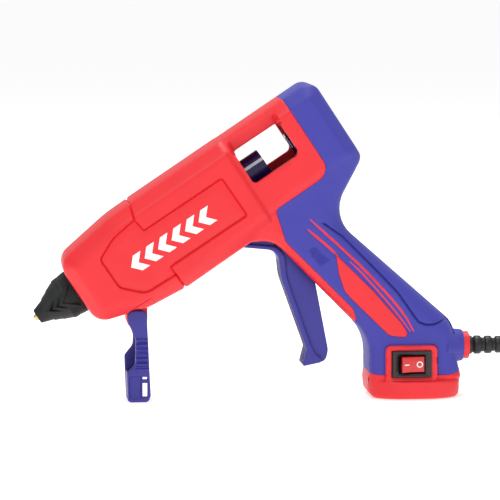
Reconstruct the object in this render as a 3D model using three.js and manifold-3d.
// A corded hot-melt glue gun in millimetres, +Z up: it stands on the foot of its grip and on a folding
// front leg, with the nozzle towards -X, the cord leaving towards +X and the switch side towards -Y.
// The origin is on the ground below the middle of the gun.
import * as THREE from "three";
import { mergeVertices } from "three/addons/utils/BufferGeometryUtils.js";
import Module from "manifold-3d";

const wasm = await Module();
wasm.setup();

// ---- Driving dimensions ----
const TILT = THREE.MathUtils.degToRad(33.5); // of the barrel, nozzle down
const NOZZLE = { x: -117.43, z: 44.78 }; // where the barrel's own frame starts, at the nozzle's tip

const BARREL_HALF = 23; // half widths across the gun
const GRIP_HALF = 17;
const FOOT_HALF = 22;
const WALL = 3.8; // from the outside of the casing to its hollow, rubber included
const RUBBER = 1.5; // thickness of the soft overmould
const SEAM = 0.15; // each casing half stops this far from the middle
const GAP = 0.3; // between separate pieces

const STICK_RADIUS = 5.6; // an 11 mm glue stick
const BORE = STICK_RADIUS + 0.3;
const COLLAR_RADIUS = 9;
const CARRIAGE = { front: 126, rear: 148.8, trunnion: 131.5 };
const BUSH = { front: 165.5, rear: 193.2, radius: 7.8 };
const WINDOW = { front: 136.9, rear: 166.1, bottom: -3.5, top: 16.4 };
const CHAMBER = { front: 32.8, rear: 90, radius: 9.5, spigot: 7.6, spigotRear: 100 };
const HEATER = { front: 56, rear: 86, bottom: 11.5, top: 16.5, half: 8.5 };

const TRIGGER_PIVOT = { x: 6.9, z: 94.2 };
const PIVOT_UP = -27.4; // the same pivot, across the barrel's axis
const HUB_RADIUS = 5.5;
const TRIGGER_PIN = 1.85;
const SLOT_HALF = 10; // half width of the trigger's slot
const FORK = { inner: 9.9, outer: 12.7 };

const EYE = { x: -63.4, z: 44.5, radius: 5.2 }; // hinge of the folding leg
const EYE_ALONG = 44.9; // the same hinge in the barrel's frame
const EAR = { inner: 10, outer: 13 };
const STAND_PIN = 1.5;

const SWITCH = { x: 84, z: 19.4, face: -21, panel: -19.5, length: 21.2, height: 14.2 };
const ROCKER = { tilt: THREE.MathUtils.degToRad(12), pivotY: -19.2 };

const CORD = { radius: 3, z: 26.8 };
const HANK = { x: 259.5, y: 2, straight: 49, foldRadius: 21.1, turns: 6 }; // the cord's tied hank
const RELIEF = { start: 104, boss: 118.7, end: 158 };
const LEAD = 1.1; // radius of the wires inside
const CLAMP_X = 100.5;
const CLAMP_SCREWS = [-6, 6]; // above and below the cord
const PLUG = { x: 179, y: 17, length: 36, width: 26, height: 14, pin: 2.4, reach: 19 };

// ---- Looks ----
const look = (color, roughness, metalness = 0) =>
  new THREE.MeshStandardMaterial({ color, roughness, metalness });
const LOOKS = {
  red: look(0xe8323a, 0.45),
  purple: look(0x5148a8, 0.55),
  rubber: look(0x473fa0, 0.7),
  black: look(0x1a1a1c, 0.6),
  silicone: look(0xc9c9c2, 0.7),
  navy: look(0x231e5a, 0.3),
  brass: look(0xc9a545, 0.3, 1),
  aluminium: look(0xb9bcc0, 0.45, 1),
  steel: look(0x9da0a4, 0.35, 1),
  ceramic: look(0xe6e2d6, 0.6),
  switchRed: look(0xc8141c, 0.3),
  brown: look(0x6a3d22, 0.5),
  blue: look(0x2d62b5, 0.5),
};

// ---- Frames and groups ----
const gun = new THREE.Group();
const barrel = new THREE.Group();
barrel.position.set(NOZZLE.x, 0, NOZZLE.z);
barrel.rotation.y = -TILT;
barrel.updateMatrix();
gun.add(barrel);

// A point of the barrel's frame, u rearwards from the nozzle and v up from the axis, as [x, z].
const at = (u, v, ...radius) => [
  NOZZLE.x + u * Math.cos(TILT) - v * Math.sin(TILT),
  NOZZLE.z + u * Math.sin(TILT) + v * Math.cos(TILT),
  ...radius,
];

// ---- Solids ----
function solid(geometry, frame) {
  const bare = new THREE.BufferGeometry();
  bare.setAttribute("position", geometry.getAttribute("position").clone());
  if (geometry.index) bare.setIndex(geometry.index.clone());
  if (frame) bare.applyMatrix4(frame);
  const merged = mergeVertices(bare, 1e-4);
  const vertProperties = new Float32Array(merged.attributes.position.array);
  const triVerts = new Uint32Array(merged.index.array);
  return new wasm.Manifold(new wasm.Mesh({ numProp: 3, vertProperties, triVerts }));
}

const inBarrel = (geometry) => solid(geometry, barrel.matrix);
const joined = (...solids) => solids.reduce((sum, next) => sum.add(next));
const less = (body, ...cuts) => cuts.reduce((rest, cut) => rest.subtract(cut), body);

function geometryOf(body) {
  const mesh = body.getMesh();
  const geometry = new THREE.BufferGeometry();
  geometry.setAttribute("position", new THREE.BufferAttribute(mesh.vertProperties, 3));
  geometry.setIndex(new THREE.BufferAttribute(mesh.triVerts, 1));
  const faceted = geometry.toNonIndexed();
  faceted.computeVertexNormals();
  return faceted;
}

function piece(name, shape, material, group = gun) {
  const geometry = shape.isBufferGeometry ? shape : geometryOf(shape);
  const mesh = new THREE.Mesh(geometry, material);
  mesh.name = name;
  group.add(mesh);
}

// ---- Outlines: lists of corners [x, z, radius], anticlockwise ----
const vector = ([x, z]) => new THREE.Vector2(x, z);
const leftOf = (direction) => new THREE.Vector2(-direction.y, direction.x);

// The directions of the two edges that meet at each corner.
function edgesAt(corners, i) {
  const here = vector(corners[i]);
  const before = vector(corners.at(i - 1));
  const after = vector(corners[(i + 1) % corners.length]);
  return [here.clone().sub(before), after.sub(here)];
}

// Each corner moved inwards by a distance, with its rounding kept concentric.
function movedIn(corners, distance) {
  return corners.map(([x, z, radius = 0], i) => {
    const [first, second] = edgesAt(corners, i).map((edge) => edge.normalize());
    const [a, b] = [leftOf(first), leftOf(second)];
    const move = a.clone().add(b).multiplyScalar(distance / (1 + a.dot(b)));
    const outwards = first.cross(second) > 0;
    const kept = radius && Math.max(radius + (outwards ? -distance : distance), 0.3);
    return [x + move.x, z + move.y, kept];
  });
}

// The corners as points, each rounded one as an arc.
function rounded(corners, stepAngle = Math.PI / 5) {
  return corners.flatMap(([x, z, radius = 0], i) => {
    const corner = new THREE.Vector2(x, z);
    if (!radius) return [corner];
    const [first, second] = edgesAt(corners, i);
    const shortest = Math.min(first.length(), second.length());
    first.normalize();
    second.normalize();
    const turn = Math.asin(THREE.MathUtils.clamp(first.cross(second), -1, 1));
    const angle = first.dot(second) < 0 ? Math.sign(turn) * Math.PI - turn : turn;
    const reach = Math.min(Math.abs(radius * Math.tan(angle / 2)), 0.49 * shortest);
    const bend = reach / Math.tan(angle / 2);
    const centre = corner.clone().addScaledVector(first, -reach).addScaledVector(leftOf(first), bend);
    const start = corner.clone().addScaledVector(first, -reach);
    const steps = Math.max(1, Math.round(Math.abs(angle) / stepAngle));
    return Array.from({ length: steps + 1 }, (_, k) =>
      start.clone().rotateAround(centre, (angle * k) / steps),
    );
  });
}

// A plate across the gun between two places in Y, its rim bevelled where bevel is given.
function slab(points, from, to, bevel = 0, bevelSegments = 1) {
  const geometry = new THREE.ExtrudeGeometry(new THREE.Shape(points), {
    depth: to - from - 2 * bevel,
    bevelEnabled: bevel > 0,
    bevelThickness: bevel,
    bevelSize: bevel,
    bevelOffset: -bevel,
    bevelSegments,
  });
  return geometry.rotateX(Math.PI / 2).translate(0, to - bevel, 0);
}

const plate = (corners, from, to, inset = 0) => slab(rounded(movedIn(corners, inset)), from, to);

function box(x0, x1, y0, y1, z0, z1) {
  const geometry = new THREE.BoxGeometry(x1 - x0, y1 - y0, z1 - z0);
  return geometry.translate((x0 + x1) / 2, (y0 + y1) / 2, (z0 + z1) / 2);
}

// A round bar across the gun.
function crossBar(x, z, from, to, radius, sides = 16) {
  return new THREE.CylinderGeometry(radius, radius, to - from, sides).translate(x, (from + to) / 2, z);
}

// A turned piece on the X axis, from a closed profile of [distance along, radius] points.
function turned(profile, sides = 24) {
  const area = THREE.ShapeUtils.area(profile.map(([along, radius]) => ({ x: radius, y: along })));
  const ordered = area > 0 ? profile : profile.toReversed();
  const points = [...ordered, ordered[0]].map(([along, radius]) => new THREE.Vector2(radius, along));
  return new THREE.LatheGeometry(points, sides).rotateZ(-Math.PI / 2);
}

const ring = (from, to, inner, outer, sides) =>
  turned([[from, inner], [to, inner], [to, outer], [from, outer]], sides);

const disc = (from, to, radius, sides = 24) =>
  new THREE.CylinderGeometry(radius, radius, to - from, sides)
    .rotateZ(-Math.PI / 2)
    .translate((from + to) / 2, 0, 0);

// A round wire or cord along a smooth curve through the points.
function tube(points, radius, steps, sides = 8) {
  const stops = points.map((point) => new THREE.Vector3(...point));
  const curve = new THREE.CatmullRomCurve3(stops, false, "centripetal");
  const circle = Array.from({ length: sides }, (_, k) => {
    const angle = (2 * Math.PI * k) / sides;
    return new THREE.Vector2(radius * Math.cos(angle), radius * Math.sin(angle));
  });
  return new THREE.ExtrudeGeometry(new THREE.Shape(circle), { steps, extrudePath: curve });
}

// ---- Casing ----
const BARREL_OUTLINE = [
  at(26.3, -20.3, 8.5),
  at(54, -28.3, 20),
  at(78, -29.3, 10),
  at(193.5, -29.2, 8),
  at(193.5, 25.5, 8),
  at(62, 24.4, 60),
  at(26.6, 19.3, 9),
];
const GRIP_OUTLINE = [
  [-10, 95],
  [-2.4, 86],
  [10.2, 86, 18],
  [60.9, 33.6, 26],
  [60.9, 6],
  [113.2, 11.5],
  [107.6, 40.9, 24],
  [41.4, 99.1, 19],
  [57.5, 125.2],
  [50, 135],
  [0, 110],
];
const FOOT_OUTLINE = [
  [58.9, 0, 7],
  [111, 0, 7],
  [111, 15, 6.5],
  [58.9, 15, 6.5],
];
const RUBBER_ZONE = [
  at(174.4, 60),
  at(174.4, -21.4, 8),
  at(139, -21.4, 3),
  [13.6, 93.5, 6],
  [16, 86, 6],
  [52.4, 49.6, 6],
  [54.9, 42.8, 3],
  [45, 36],
  [45, 17.5],
  [66, 13.4],
  [104, 12.9],
  [150, 20],
  [150, 170],
];
const LEAF = [
  [44.2, 78.4],
  [45.8, 66.5, 10],
  [74.5, 35.4, 6],
  [84, 33.8, 1.5],
  [66.6, 54.6],
];
const LABEL_PANEL = [
  at(46.8, -9, 5),
  at(57, -19.4, 8),
  at(75.6, -20),
  at(75.6, -14.9),
  at(124.6, -14.9, 1.5),
  at(124.2, 9.4, 1.5),
  at(74.6, 9.4),
  at(73.4, 16.8, 1.5),
  at(59, 15.2, 20),
  at(46.6, 9.4, 3),
];
const TRIGGER_OPENING = [
  [-7.5, 79],
  [10, 76],
  [48, 38],
  [52, 41.5],
  [60, 54],
  [30, 90],
  [12, 99],
  [-7.5, 96],
];

// The whole outside of the gun's body, moved inwards by a distance.
function body(inset) {
  const shaped = (outline, half, bevel, segments) => {
    const softened = Math.max(bevel - 0.6 * inset, 0.5);
    const points = rounded(movedIn(outline, inset));
    return solid(slab(points, inset - half, half - inset, softened, segments));
  };
  return joined(
    shaped(BARREL_OUTLINE, BARREL_HALF, 6, 1),
    shaped(GRIP_OUTLINE, GRIP_HALF, 5, 2),
    shaped(FOOT_OUTLINE, FOOT_HALF, 4.5, 2),
    solid(disc(96, 115.3 - inset, 8.8 - inset).translate(0, 0, CORD.z)),
  );
}

// Screws that close the casing: where each one is, and how far out its head sits.
const SCREWS = [
  { place: at(40, 15.5), seat: 14 },
  { place: at(100, -20.5), seat: 14 },
  { place: at(112, 17.5), seat: 14 },
  { place: at(184, -19.5), seat: 14 },
  { place: [58.4, 69.6], seat: 9 },
  { place: [90.4, 39.6], seat: 9 },
  { place: [66, 8], seat: 11 },
];
const SCREW = { radius: 1.45, head: 2.7, headHeight: 2, tip: -10 };

// The screw posts and the bush's rib, in both halves of the casing.
function supports() {
  const posts = SCREWS.map(({ place: [x, z] }) => solid(crossBar(x, z, -20, 20, 4.2, 16)));
  const rib = inBarrel(box(176, 178.5, -21, 21, -27, 23));
  const bushRib = less(rib, inBarrel(disc(170, 185, BUSH.radius + GAP)));
  return joined(...posts, bushRib);
}

// The posts of the cord clamp and of the return spring, which stand on the left half alone.
function leftPosts() {
  const clampPosts = CLAMP_SCREWS.map((up) =>
    less(
      solid(crossBar(CLAMP_X, CORD.z + up, -16, 3, 2.4, 12)),
      solid(crossBar(CLAMP_X, CORD.z + up, -5, 4, 1.4, 8)),
    ),
  );
  const springPost = inBarrel(box(170, 173, -21, 1.8, -17, -11));
  return joined(...clampPosts, springPost).intersect(body(RUBBER + 2 * GAP));
}

function hollow() {
  const hingeBlock = inBarrel(box(20, 60, -30, 30, -40, -20));
  return less(body(WALL), hingeBlock);
}

function legPockets() {
  const sides = [-1, 1].flatMap((side) => {
    const [near, far] = side < 0 ? [-30, -EAR.inner + 0.4] : [EAR.inner - 0.4, 30];
    const [slotNear, slotFar] = side < 0 ? [-EAR.outer - 0.5, far] : [near, EAR.outer + 0.5];
    return [
      solid(crossBar(EYE.x, EYE.z, near, far, EYE.radius + 1.6, 32)),
      inBarrel(box(EYE_ALONG, EYE_ALONG + 13, slotNear, slotFar, -40, -23.2)),
    ];
  });
  return joined(...sides);
}

function keel() {
  const half = EAR.inner - 0.7;
  const web = [
    [EYE.x - 5.6, EYE.z],
    [EYE.x + 5.6, EYE.z],
    [EYE.x + 5.6, EYE.z + 14],
    [EYE.x - 5.6, EYE.z + 8],
  ];
  return joined(
    solid(crossBar(EYE.x, EYE.z, -half, half, 5.6, 24)),
    solid(plate(web, -half, half)),
  );
}

// Everything that is cut right through the closed casing.
function openings() {
  const windowHole = [
    at(WINDOW.front, WINDOW.bottom, 2),
    at(WINDOW.rear, WINDOW.bottom, 2),
    at(WINDOW.rear, WINDOW.top, 2),
    at(WINDOW.front, WINDOW.top, 2),
  ];
  const { x, z } = TRIGGER_PIVOT;
  const screwHoles = SCREWS.flatMap(({ place: [sx, sz], seat }) => [
    solid(crossBar(sx, sz, SCREW.tip - 1, 30, SCREW.radius + GAP, 12)),
    solid(crossBar(sx, sz, seat - GAP, 30, SCREW.head + GAP, 16)),
  ]);
  return joined(
    solid(plate(windowHole, -30, 30)),
    solid(plate(TRIGGER_OPENING, -SLOT_HALF, SLOT_HALF)),
    solid(crossBar(x, z, -FORK.outer - 0.5, FORK.outer + 0.5, HUB_RADIUS + 0.6, 24)),
    solid(crossBar(x, z, -15.5, 15.5, TRIGGER_PIN + 0.1, 24)),
    solid(crossBar(EYE.x, EYE.z, -12, 12, STAND_PIN + 0.1, 24)),
    inBarrel(disc(20, 34, 11.3)),
    inBarrel(disc(185, 200, BUSH.radius + GAP)),
    solid(disc(103, 125, 5.4).translate(0, 0, CORD.z)),
    solid(disc(102, 107, 7.4).translate(0, 0, CORD.z)),
    ...screwHoles,
  );
}

const switchSurround = () =>
  solid(slab(rounded([[69.9, 8], [98.3, 8], [98.3, 29.5, 3], [69.9, 29.5, 3]]), SWITCH.panel, -10, 1.2));

function switchHole() {
  const { x, z, panel, length, height } = SWITCH;
  const reach = { x: length / 2 + GAP, z: height / 2 + GAP };
  const rim = box(x - reach.x, x + reach.x, -30, panel, z - reach.z, z + reach.z);
  return joined(solid(rim), solid(box(x - 9.9, x + 9.9, -30, -3, z - 6.75, z + 6.75)));
}

const panels = () =>
  joined(
    solid(plate(LABEL_PANEL, -30, -BARREL_HALF + 0.8)),
    solid(plate(LABEL_PANEL, BARREL_HALF - 0.8, 30)),
  );

const leftHalf = () => solid(box(-200, 200, -60, -SEAM, -50, 250));
const rightHalf = () => solid(box(-200, 200, SEAM, 60, -50, 250));

function addCasing() {
  const cordRing = disc(104, RELIEF.boss, 7).translate(0, 0, CORD.z);
  const softZone = (grow) => {
    const aroundSwitch = box(69.9 - grow, 98.3 + grow, -30, 0, 0, 29.5 + grow);
    const zone = solid(plate(RUBBER_ZONE, -40, 40, grow - GAP));
    return less(zone, solid(aroundSwitch), solid(plate(LEAF, -40, 40, -grow)));
  };
  const cleared = less(softZone(0), body(RUBBER + GAP));
  const casing = less(body(0), legPockets());
  const outside = joined(casing, keel(), switchSurround(), supports().intersect(body(1)));
  const shell = less(
    joined(less(outside, cleared, less(hollow(), supports())), solid(cordRing)),
    openings(),
    switchHole(),
    panels(),
  );
  piece("housing_left", joined(shell.intersect(leftHalf()), leftPosts()), LOOKS.red);
  piece("housing_right", shell.intersect(rightHalf()), LOOKS.red);

  const skin = less(
    body(0).intersect(softZone(GAP)),
    body(RUBBER),
    openings(),
    solid(disc(100, 130, 7 + GAP).translate(0, 0, CORD.z)),
  );
  piece("grip_overmould_left", skin.intersect(leftHalf()), LOOKS.rubber);
  piece("grip_overmould_right", skin.intersect(rightHalf()), LOOKS.rubber);
}

function addCasingScrews() {
  SCREWS.forEach(({ place: [x, z], seat }, i) => {
    const shank = crossBar(x, z, SCREW.tip, seat + 0.5, SCREW.radius, 10);
    const head = crossBar(x, z, seat, seat + SCREW.headHeight, SCREW.head, 14);
    piece("housing_screw_" + (i + 1), joined(solid(shank), solid(head)), LOOKS.steel);
  });
}

// ---- Hot end, in the barrel's frame ----
function addHotEnd() {
  const nozzle = [[-0.6, 0.9], [4, 0.9], [14, 3.3], [42, 3.3], [42, 4.5], [32.4, 4.5], [32.4, 6],
    [18, 6], [4, 2.5], [0.6, 2.1], [-0.6, 1.4]];
  piece("nozzle", turned(nozzle, 18), LOOKS.brass, barrel);

  const cover = [[1.2, 2.9], [4.2, 3.1], [18, 6.6], [32.2, 6.6], [32.2, 12], [30.9, 12], [30.9, 11],
    [26, 11], [26, 12.4], [18, 11.8], [12, 8.6], [8, 6.4], [2.2, 4.1], [1.2, 3.7]];
  piece("nozzle_cover", turned(cover, 20), LOOKS.black, barrel);

  const { front, rear, radius, spigot, spigotRear } = CHAMBER;
  const body = [[front, 4.8], [43, 4.8], [44, 3.5], [70, BORE], [spigotRear, BORE], [spigotRear, spigot],
    [rear, spigot], [rear, radius], [front, radius]];
  const pocket = box(HEATER.front - 2, HEATER.rear + 1, -10.5, 10.5, 6, HEATER.top + 1.6);
  const slot = box(HEATER.front - 4, HEATER.rear + 4, -HEATER.half, HEATER.half, HEATER.bottom, HEATER.top);
  const bore = disc(front - 1, spigotRear + 1, BORE);
  const block = less(solid(pocket), solid(slot), solid(bore));
  piece("melt_chamber", joined(solid(turned(body)), block), LOOKS.aluminium, barrel);

  const middle = (HEATER.bottom + HEATER.top) / 2;
  piece("ptc_heater", box(HEATER.front, 84, -7.5, 7.5, middle - 1, middle + 1), LOOKS.ceramic, barrel);
  const electrode = (side) => {
    const sheet = box(HEATER.front, 84, -7.5, 7.5, -0.25, 0.25);
    const tab = box(83, 91, side * 4 - 2.4, side * 4 + 2.4, -0.25, 0.25);
    return joined(solid(sheet), solid(tab));
  };
  for (const [name, side] of [["electrode_upper", 1], ["electrode_lower", -1]]) {
    const mesh = geometryOf(electrode(side)).translate(0, 0, middle + side * 1.6);
    piece(name, mesh, LOOKS.brass, barrel);
  }
  piece("thermal_fuse", disc(92, 100, 1.9, 12).translate(0, -7, 15), LOOKS.steel, barrel);

  const sleeve = [
    [91, 7.9], [100.4, 7.9], [100.4, BORE], [118, BORE],
    [118, 8], [108, 8], [104, 9.9], [91, 9.9],
  ];
  piece("inlet_sleeve", turned(sleeve), LOOKS.silicone, barrel);
  piece("sleeve_clamp", ring(93, 97, 10.2, 11.1), LOOKS.steel, barrel);
}

// Cradles that hold the melt chamber between the casing halves.
function addCradles() {
  const cradle = (along, bottom) => {
    const corners = [
      [-18.8, 2], [-18.8, bottom + 5], [-14, bottom],
      [14, bottom], [18.8, bottom + 5], [18.8, 2],
    ];
    const shape = new THREE.Shape(corners.map((corner) => vector(corner)));
    const sheet = new THREE.ExtrudeGeometry(shape, { depth: 2.5, bevelEnabled: false });
    sheet.rotateX(Math.PI / 2).rotateZ(Math.PI / 2).translate(along, 0, 0);
    return less(solid(sheet), solid(disc(along - 2, along + 5, CHAMBER.radius + GAP)));
  };
  piece("chamber_cradle_front", cradle(44.5, -19.5), LOOKS.steel, barrel);
  piece("chamber_cradle_rear", cradle(86, -24.6), LOOKS.steel, barrel);
}

// ---- Feed: the carriage that pushes the stick, with its biting lever and return spring ----
const CLAMP_PIN = { u: 131, v: 12.6, radius: 1.25 };
const SPRING = { v: -14, front: 142.6, rear: 169.4, radius: 3, wire: 0.5, turns: 6 };

function addFeed() {
  const { front, rear, trunnion } = CARRIAGE;
  const collar = joined(
    solid(disc(front, rear, COLLAR_RADIUS, 32)),
    solid(crossBar(trunnion, 0, -13.3, 13.3, 2, 16)),
    solid(box(127, 135, -6.2, -3.6, 6, 15.6)),
    solid(box(127, 135, 3.6, 6.2, 6, 15.6)),
    solid(box(139, 142, -2, 2, -17, -8)),
  );
  const bore = solid(disc(front - 1, rear + 1, BORE, 32));
  const leverSlot = solid(box(126.4, 135, -3.6, 3.6, 3, 20));
  const pinHole = solid(crossBar(CLAMP_PIN.u, CLAMP_PIN.v, -8, 8, CLAMP_PIN.radius + 0.05, 16));
  piece("feed_carriage", less(collar, bore, leverSlot, pinHole), LOOKS.navy, barrel);

  const lever = [
    [134, 13.2], [133, 15.6], [129.5, 15.6], [127.6, 12.5],
    [127.4, 6.4], [129.2, 6.1], [131.5, 8.8],
  ];
  const leverHole = crossBar(CLAMP_PIN.u, CLAMP_PIN.v, -5, 5, CLAMP_PIN.radius + 0.08, 16);
  piece("clamp_lever", less(solid(plate(lever, -3.1, 3.1)), solid(leverHole)), LOOKS.steel, barrel);
  piece("clamp_pin", crossBar(CLAMP_PIN.u, CLAMP_PIN.v, -6, 6, CLAMP_PIN.radius, 16), LOOKS.steel, barrel);

  const perTurn = 8;
  const coils = Array.from({ length: SPRING.turns * perTurn + 1 }, (_, k) => {
    const angle = (2 * Math.PI * k) / perTurn;
    const along = 145.5 + (20 * k) / (SPRING.turns * perTurn);
    return [along, SPRING.radius * Math.sin(angle), SPRING.v + SPRING.radius * Math.cos(angle)];
  });
  const path = [[SPRING.front, 0, SPRING.v], [143.6, 0, SPRING.v], ...coils, [167.6, 0, SPRING.v],
    [SPRING.rear, 0, SPRING.v]];
  piece("return_spring", tube(path, SPRING.wire, SPRING.turns * perTurn + 4, 4), LOOKS.steel, barrel);
}

const addBush = () =>
  piece("stick_inlet_bush", ring(BUSH.front, BUSH.rear, BORE, BUSH.radius, 32), LOOKS.navy, barrel);

// ---- Trigger ----
const TRIGGER_FACE = [
  [-5.8, 82.4],
  [12.6, 80.6, 7],
  [14.2, 66, 25],
  [28.3, 27, 4],
  [25.8, 17.4, 1],
  [38.8, 20, 4],
];
const TRIGGER_BACK = [
  [40.3, 26, 8],
  [33.1, 62.9, 20],
  [31, 74, 12],
  [19, 90, 8],
  [9, 100],
  [2, 93],
];

function addTrigger() {
  const inner = [[33, 24.5, 3], [30.4, 30, 12], [17.4, 66.5, 24], [16.4, 82.6, 9], [-5.8, 84.6]];
  const flange = slab(rounded([...TRIGGER_FACE, ...inner]), -9, 9, 0.8);
  const web = plate([...TRIGGER_FACE.slice(1), ...TRIGGER_BACK], -7, 7);
  const { x, z } = TRIGGER_PIVOT;
  const { trunnion } = CARRIAGE;
  const arm = [
    at(127, PIVOT_UP - 2),
    at(134.9, PIVOT_UP - 2),
    at(trunnion + 4.6, 0),
    at(trunnion + 4.6, 4.4, 2.5),
    at(trunnion - 4.6, 4.4, 2.5),
    at(trunnion - 4.6, 0),
  ];
  const arms = [-1, 1].map((side) => {
    const [from, to] = side < 0 ? [-FORK.outer, -FORK.inner] : [FORK.inner, FORK.outer];
    return solid(plate(arm, from, to));
  });
  const trunnionSlot = [-0.2, 0.6].map((up) =>
    inBarrel(crossBar(trunnion, up, -20, 20, 2.35, 16)),
  );
  const lever = joined(solid(crossBar(x, z, -FORK.outer, FORK.outer, HUB_RADIUS, 24)), ...arms);
  const whole = joined(solid(flange), solid(web), lever);
  const pinHole = solid(crossBar(x, z, -20, 20, TRIGGER_PIN + 0.08, 24));
  piece("trigger", less(whole, pinHole, ...trunnionSlot), LOOKS.purple);
  piece("trigger_pin", crossBar(x, z, -15.2, 15.2, TRIGGER_PIN, 24), LOOKS.steel);
}

// ---- Folding front leg ----
function addLeg() {
  const { x, z } = EYE;
  const side = [
    [x - 5.2, z + 5.2, 5.15],
    [x - 5.2, z - 1, 3],
    [-64.4, 34, 8],
    [-64.6, 20, 5],
    [-69.1, 15.5, 3],
    [-68.6, 0, 1.8],
    [-56.5, 0, 1.8],
    [x + 5.2, z - 1],
    [x + 5.2, z + 5.2, 5.15],
  ];
  const ears = [plate(side, -EAR.outer, -EAR.inner), plate(side, EAR.inner, EAR.outer)];
  const shoe = [[-69.1, 15.5, 2], [-68.6, 0, 1.8], [-56.5, 0, 1.8], [-57, 15.5]];
  const solids = [
    ...ears.map((ear) => solid(ear)),
    solid(plate(shoe, -EAR.outer, EAR.outer)),
    solid(box(-60.6, -57.6, -EAR.inner - 0.5, EAR.inner + 0.5, 14, 29)),
  ];
  const cuts = [
    solid(box(-60.7, -58.1, -20, 20, 2.9, 10.4)),
    solid(box(-60.7, -58.1, -20, 20, 12.4, 13.8)),
    solid(crossBar(x, z, -12.3, 12.3, STAND_PIN + 0.08, 24)),
  ];
  piece("stand_leg", less(joined(...solids), ...cuts), LOOKS.purple);
  piece("stand_pin", crossBar(x, z, -12, 12, STAND_PIN, 24), LOOKS.steel);
}

// ---- Rocker switch ----
function addSwitch() {
  const { x, z, face, panel, length, height } = SWITCH;
  const bezel = box(x - length / 2, x + length / 2, face, panel - GAP, z - height / 2, z + height / 2);
  const can = box(x - 9.5, x + 9.5, panel - 0.5, -5, z - 6.4, z + 6.4);
  const pocket = box(x - 6.7, x + 6.7, face - 1, -12.5, z - 4.65, z + 4.65);
  piece("switch_body", less(joined(solid(bezel), solid(can)), solid(pocket)), LOOKS.black);

  const profile = [[-5.7, -2.7], [0, -1.9], [5.7, -2.7], [5, 1.2], [0, 3], [-5, 1.2]];
  const shape = new THREE.Shape(profile.map((corner) => vector(corner)));
  const rocker = new THREE.ExtrudeGeometry(shape, { depth: 8.6, bevelEnabled: false });
  rocker.translate(0, 0, -4.3).rotateZ(ROCKER.tilt).translate(x, ROCKER.pivotY, z);
  piece("switch_rocker", rocker, LOOKS.switchRed);

  [-5, 5].forEach((along, i) => {
    const tab = box(x + along - 0.4, x + along + 0.4, -4.7, 3, z - 3.1, z + 3.1);
    piece("switch_terminal_" + (i + 1), tab, LOOKS.brass);
  });
}

// ---- Wiring inside the gun ----
function addLeads() {
  const inside = (u, y, v) => {
    const [x, z] = at(u, v);
    return [x, y, z];
  };
  const upTheGrip = (side) => [
    [88, side * 5, 32],
    [78, side * 8, 42],
    [66, side * 9, 55],
    [47.5, side * 9, 73],
    [37, side * 9.5, 92],
    [26.5, side * 9.5, 104],
    inside(147, side * 15.5, -17.5),
    inside(128, side * 16.2, -15.5),
    inside(112, side * 16, -8),
    inside(104, side * 14, 4),
  ];
  const neutral = [[98.5, 1.4, CORD.z + 0.6], ...upTheGrip(1), inside(97, 8, 13), inside(92.9, 4, 15.6)];
  const switched = [
    [89, 0, 23.9], [89.5, -2, 28], ...upTheGrip(-1),
    inside(104.4, -9, 13), inside(101.6, -7, 15),
  ];
  piece("lead_neutral", tube(neutral, LEAD, 32, 5), LOOKS.blue);
  piece("lead_switched", tube(switched, LEAD, 32, 5), LOOKS.black);
  const live = [
    [98.5, -1.5, CORD.z - 0.6], [95.5, 2, 22], [90, 6, 20.5],
    [84, 6.2, 19.8], [80.4, 4.6, SWITCH.z],
  ];
  piece("lead_live", tube(live, LEAD, 12, 5), LOOKS.brown);
}

function addCordClamp() {
  const bar = box(CLAMP_X - 2.5, CLAMP_X + 2.5, CORD.radius + GAP, 6.3, CORD.z - 8.6, CORD.z + 8.6);
  const holes = CLAMP_SCREWS.map((up) => solid(crossBar(CLAMP_X, CORD.z + up, 0, 9, 1.5, 10)));
  piece("cord_clamp", less(solid(bar), ...holes), LOOKS.black);
  CLAMP_SCREWS.forEach((up, i) => {
    const shank = crossBar(CLAMP_X, CORD.z + up, -4, 7, 1.1, 8);
    const head = crossBar(CLAMP_X, CORD.z + up, 6.6, 8.2, 2.2, 10);
    piece("clamp_screw_" + (i + 1), joined(solid(shank), solid(head)), LOOKS.steel);
  });
}

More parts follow.
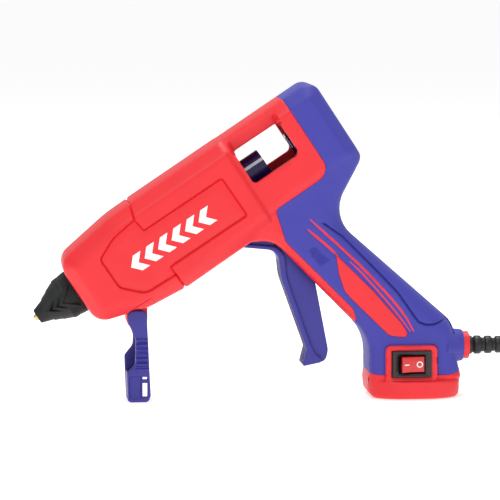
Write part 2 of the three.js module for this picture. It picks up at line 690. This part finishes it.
// ---- Cord, its boot, its coil and its plug ----
function addCord() {
  const { start, boss, end } = RELIEF;
  const bore = CORD.radius + GAP;
  const ribs = 5;
  const pitch = (end - boss - 4) / ribs;
  const ribbed = Array.from({ length: ribs }, (_, k) => {
    const from = boss + 2 + k * pitch;
    const radius = 5 - (1.1 * k) / ribs;
    return [[from, radius - 0.6], [from + 1, radius], [from + pitch - 2.2, radius - 0.1],
      [from + pitch - 1.2, radius - 0.6]];
  });
  const boot = [[start, bore], [start, 7], [106.7, 7], [106.7, 5.1], [boss + 2, 5.1], ...ribbed.flat(),
    [end, 3.9], [end, bore]];
  piece("strain_relief", turned(boot, 14).translate(0, 0, CORD.z), LOOKS.black);

  const straight = [[99.7, 0, CORD.z], [120, 0, CORD.z], [end - 10, 0, CORD.z], [end + 1, 0, CORD.z]];
  const drop = [[166, -1, 25.4], [172, -3, 22.4], [179, -6.8, 17.6], [186, -11.4, 12], [193, -16, 7.4],
    [199, -19.4, 4.6]];
  const route = [...straight, ...drop];
  piece("cord_tube", tube(route, CORD.radius, 26, 8), LOOKS.black);
  piece("cord_coil", hank(), LOOKS.black);
}

// The rest of the cord, folded into a hank and tied: a ring drawn out along X.
function hank() {
  const bundle = CORD.radius * Math.sqrt(HANK.turns) * 1.1;
  const ring = new THREE.TorusGeometry(HANK.foldRadius, bundle, 8, 22);
  const positions = ring.getAttribute("position");
  for (let i = 0; i < positions.count; i += 1) {
    positions.setX(i, positions.getX(i) + (Math.sign(positions.getX(i)) * HANK.straight) / 2);
  }
  return ring.translate(HANK.x, HANK.y, bundle);
}

// The plug lies on the ground between the gun and the hank, with its pins towards the gun.
function addPlug() {
  const { x, y, length, width, height, pin, reach } = PLUG;
  const [rear, front] = [-length / 2, length / 2];
  const outline = [[-5, rear, 2], [5, rear, 2], [width / 2, rear + 12, 4], [width / 2, front, 3],
    [-width / 2, front, 3], [-width / 2, rear + 12, 4]];
  const grip = new THREE.ExtrudeGeometry(new THREE.Shape(rounded(outline)), {
    depth: height - 3,
    bevelThickness: 1.5,
    bevelSize: 1.5,
    bevelOffset: -1.5,
    bevelSegments: 1,
  });
  grip.translate(0, 0, 1.5);
  const bar = (from, to, radius, side) =>
    disc(from, to, radius, 12)
      .rotateZ(Math.PI / 2)
      .translate(side, front, height / 2);
  const sides = [-9.5, 9.5];
  const laid = (geometry) => geometry.rotateZ(Math.PI / 2).translate(x, y, 0);
  const sockets = sides.map((side) => solid(laid(bar(-6, 1, pin + GAP, side))));
  piece("plug_body", less(solid(laid(grip)), ...sockets), LOOKS.black);
  sides.forEach((side, i) => piece("plug_pin_" + (i + 1), laid(bar(-5.5, reach, pin, side)), LOOKS.steel));
}

addCasing();
addCasingScrews();
addHotEnd();
addCradles();
addFeed();
addBush();
addTrigger();
addLeg();
addSwitch();
addLeads();
addCordClamp();
addCord();
addPlug();

export default gun;
